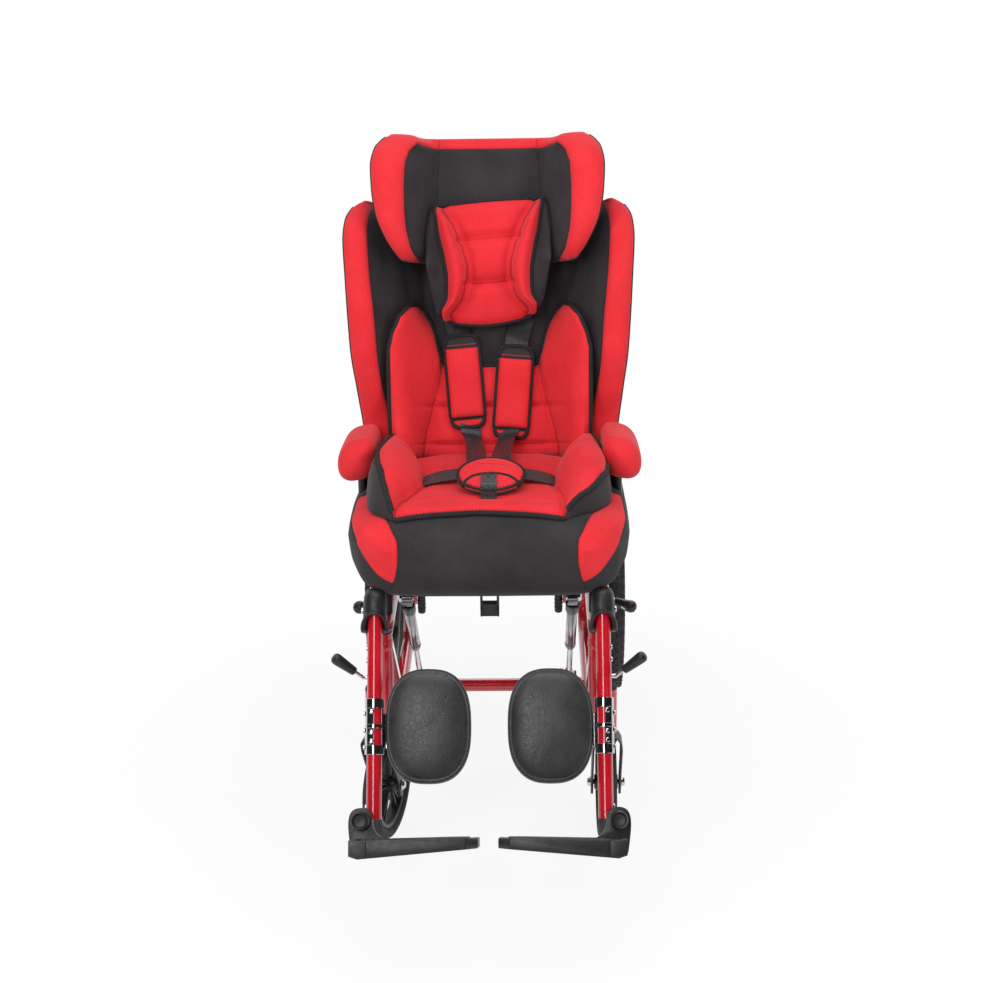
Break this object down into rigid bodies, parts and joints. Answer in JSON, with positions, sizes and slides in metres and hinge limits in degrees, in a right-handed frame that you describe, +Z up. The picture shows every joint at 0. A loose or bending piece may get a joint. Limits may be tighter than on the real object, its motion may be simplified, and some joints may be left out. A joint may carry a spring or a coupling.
{
  "type": "special needs stroller",
  "caption": "Paediatric tilt-and-recline transport chair with padded seat, winged headrest, harness, raising legrests, casters and spoked rear wheels.",
  "frame": {"origin": "centre of the bounding box on the floor", "axes": "+X to the right seen from the front, +Y to the rear, +Z up; the seat faces -Y"},
  "size_m": [0.4704, 1.1486, 1.0584],
  "materials": {
    "red_paint": "gloss",
    "bright_chrome": "polished",
    "black_plastic": "matte",
    "black_rubber": "matte",
    "red_fabric": "matte",
    "black_vinyl": "satin",
    "black_webbing": "matte"
  },
  "bodies": {
    "base": {"left_side_frame": "red_paint", "right_side_frame": "red_paint", "lower_cross_tube": "red_paint", "rear_axle": "bright_chrome"},
    "seat": {"seat_frame": "red_paint", "seat_pan": "black_plastic", "front_bracket": "black_plastic", "seat_cushion": "red_fabric", "seat_insert": "red_fabric", "lower_harness": "black_webbing", "buckle": "black_plastic", "buckle_pad": "red_fabric", "crotch_strap": "black_webbing", "left_release_cable": "black_rubber", "right_release_cable": "black_rubber"},
    "back": {"back_frame": "red_paint", "push_grip": "black_rubber", "back_shell": "black_plastic", "back_cushion": "red_fabric", "back_insert": "red_fabric", "left_shoulder_strap": "black_webbing", "right_shoulder_strap": "black_webbing", "left_shoulder_pad": "red_fabric", "right_shoulder_pad": "red_fabric"},
    "head": {"headrest": "red_fabric", "head_pillow": "red_fabric", "headrest_carrier": "black_plastic"},
    "release_bar": {"release_bar": "black_plastic"},
    "left_rear_wheel": {"left_rear_tyre": "black_rubber", "left_rear_rim": "black_plastic"},
    "left_caster": {"left_caster_fork": "black_plastic", "left_caster_axle": "bright_chrome"},
    "left_caster_wheel": {"left_caster_tyre": "black_rubber", "left_caster_rim": "black_plastic"},
    "left_brake": {"left_brake_lever": "bright_chrome"},
    "left_gas_rod": {"left_gas_rod": "bright_chrome"},
    "left_gas_cylinder": {"left_gas_cylinder": "black_plastic"},
    "left_legrest": {"left_knee_knuckle": "black_plastic", "left_leg_tube": "red_paint", "left_footplate_pin": "black_plastic"},
    "left_leg_release": {"left_release_lever": "bright_chrome"},
    "left_calf": {"left_calf_clamp": "bright_chrome", "left_calf_pad": "black_vinyl"},
    "left_foot": {"left_footplate": "black_plastic"},
    "right_rear_wheel": {"right_rear_tyre": "black_rubber", "right_rear_rim": "black_plastic"},
    "right_caster": {"right_caster_fork": "black_plastic", "right_caster_axle": "bright_chrome"},
    "right_caster_wheel": {"right_caster_tyre": "black_rubber", "right_caster_rim": "black_plastic"},
    "right_brake": {"right_brake_lever": "bright_chrome"},
    "right_gas_rod": {"right_gas_rod": "bright_chrome"},
    "right_gas_cylinder": {"right_gas_cylinder": "black_plastic"},
    "right_legrest": {"right_knee_knuckle": "black_plastic", "right_leg_tube": "red_paint", "right_footplate_pin": "black_plastic"},
    "right_leg_release": {"right_release_lever": "bright_chrome"},
    "right_calf": {"right_calf_clamp": "bright_chrome", "right_calf_pad": "black_vinyl"},
    "right_foot": {"right_footplate": "black_plastic"}
  },
  "joints": [
    {"name": "seat_tilt", "type": "hinge", "parent": "base", "child": "seat", "pos_m": [0, 0.16428, 0.4], "axis": [-1, 0, 0], "range_deg": [0, 20]},
    {"name": "back_recline", "type": "hinge", "parent": "seat", "child": "back", "pos_m": [0, 0.15643, 0.47574], "axis": [-1, 0, 0], "range_deg": [0, 35]},
    {"name": "headrest_height", "type": "slide", "parent": "back", "child": "head", "axis": [0, 0.309, 0.9511], "range_m": [0, 0.09]},
    {"name": "release_bar_squeeze", "type": "hinge", "parent": "back", "child": "release_bar", "pos_m": [0, 0.37925, 0.96622], "axis": [1, 0, 0], "range_deg": [0, 18], "stiffness_Nm_per_rad": 2, "springref_deg": -8.59},
    {"name": "left_rear_wheel_spin", "type": "hinge", "parent": "base", "child": "left_rear_wheel", "pos_m": [-0.206, 0.37128, 0.203], "axis": [1, 0, 0], "continuous": true},
    {"name": "left_caster_swivel", "type": "hinge", "parent": "base", "child": "left_caster", "pos_m": [-0.179, -0.22372, 0.2], "axis": [0, 0, 1], "continuous": true},
    {"name": "left_caster_spin", "type": "hinge", "parent": "left_caster", "child": "left_caster_wheel", "pos_m": [-0.16811, -0.18006, 0.088], "axis": [0.9703, -0.2419, 0], "continuous": true},
    {"name": "left_brake_turn", "type": "hinge", "parent": "base", "child": "left_brake", "pos_m": [-0.1811, 0.13428, 0.328], "axis": [1, 0, 0], "range_deg": [0, 14]},
    {"name": "left_gas_swing", "type": "hinge", "parent": "base", "child": "left_gas_rod", "pos_m": [-0.126, 0.06628, 0.158], "axis": [-1, 0, 0], "range_deg": [0, 13.65]},
    {"name": "left_gas_stroke", "type": "slide", "parent": "left_gas_rod", "child": "left_gas_cylinder", "axis": [0, -0.7099, 0.7043], "range_m": [0, 0.0795]},
    {"name": "left_legrest_raise", "type": "hinge", "parent": "seat", "child": "left_legrest", "pos_m": [-0.168, -0.26572, 0.44], "axis": [-1, 0, 0], "range_deg": [0, 60]},
    {"name": "left_leg_release_turn", "type": "hinge", "parent": "left_legrest", "child": "left_leg_release", "pos_m": [-0.1961, -0.31393, 0.33851], "axis": [1, 0, 0], "range_deg": [0, 18], "stiffness_Nm_per_rad": 0.6, "springref_deg": -8.59},
    {"name": "left_calf_swing", "type": "hinge", "parent": "left_legrest", "child": "left_calf", "pos_m": [-0.168, -0.36072, 0.27546], "axis": [0, -0.5, -0.866], "range_deg": [-60, 0]},
    {"name": "left_footplate_flip", "type": "hinge", "parent": "left_legrest", "child": "left_foot", "pos_m": [-0.185, -0.42572, 0.16287], "axis": [0, -0.866, 0.5], "range_deg": [0, 90]},
    {"name": "right_rear_wheel_spin", "type": "hinge", "parent": "base", "child": "right_rear_wheel", "pos_m": [0.206, 0.37128, 0.203], "axis": [1, 0, 0], "continuous": true},
    {"name": "right_caster_swivel", "type": "hinge", "parent": "base", "child": "right_caster", "pos_m": [0.179, -0.22372, 0.2], "axis": [0, 0, 1], "continuous": true},
    {"name": "right_caster_spin", "type": "hinge", "parent": "right_caster", "child": "right_caster_wheel", "pos_m": [0.179, -0.17872, 0.088], "axis": [1, 0, 0], "continuous": true},
    {"name": "right_brake_turn", "type": "hinge", "parent": "base", "child": "right_brake", "pos_m": [0.1811, 0.13428, 0.328], "axis": [1, 0, 0], "range_deg": [0, 14]},
    {"name": "right_gas_swing", "type": "hinge", "parent": "base", "child": "right_gas_rod", "pos_m": [0.126, 0.06628, 0.158], "axis": [-1, 0, 0], "range_deg": [0, 13.65]},
    {"name": "right_gas_stroke", "type": "slide", "parent": "right_gas_rod", "child": "right_gas_cylinder", "axis": [0, -0.7099, 0.7043], "range_m": [0, 0.0795]},
    {"name": "right_legrest_raise", "type": "hinge", "parent": "seat", "child": "right_legrest", "pos_m": [0.168, -0.26572, 0.44], "axis": [-1, 0, 0], "range_deg": [0, 60]},
    {"name": "right_leg_release_turn", "type": "hinge", "parent": "right_legrest", "child": "right_leg_release", "pos_m": [0.1961, -0.31393, 0.33851], "axis": [1, 0, 0], "range_deg": [0, 18], "stiffness_Nm_per_rad": 0.6, "springref_deg": -8.59},
    {"name": "right_calf_swing", "type": "hinge", "parent": "right_legrest", "child": "right_calf", "pos_m": [0.168, -0.36072, 0.27546], "axis": [0, 0.5, 0.866], "range_deg": [-60, 0]},
    {"name": "right_footplate_flip", "type": "hinge", "parent": "right_legrest", "child": "right_foot", "pos_m": [0.185, -0.42572, 0.16287], "axis": [0, 0.866, -0.5], "range_deg": [0, 90]}
  ],
  "couplings": [
    {"joint": "left_gas_swing", "follows": "seat_tilt", "ratio": 0.67988},
    {"joint": "left_gas_stroke", "follows": "seat_tilt", "m_per_rad": 0.22638},
    {"joint": "right_gas_swing", "follows": "seat_tilt", "ratio": 0.67988},
    {"joint": "right_gas_stroke", "follows": "seat_tilt", "m_per_rad": 0.22638}
  ]
}
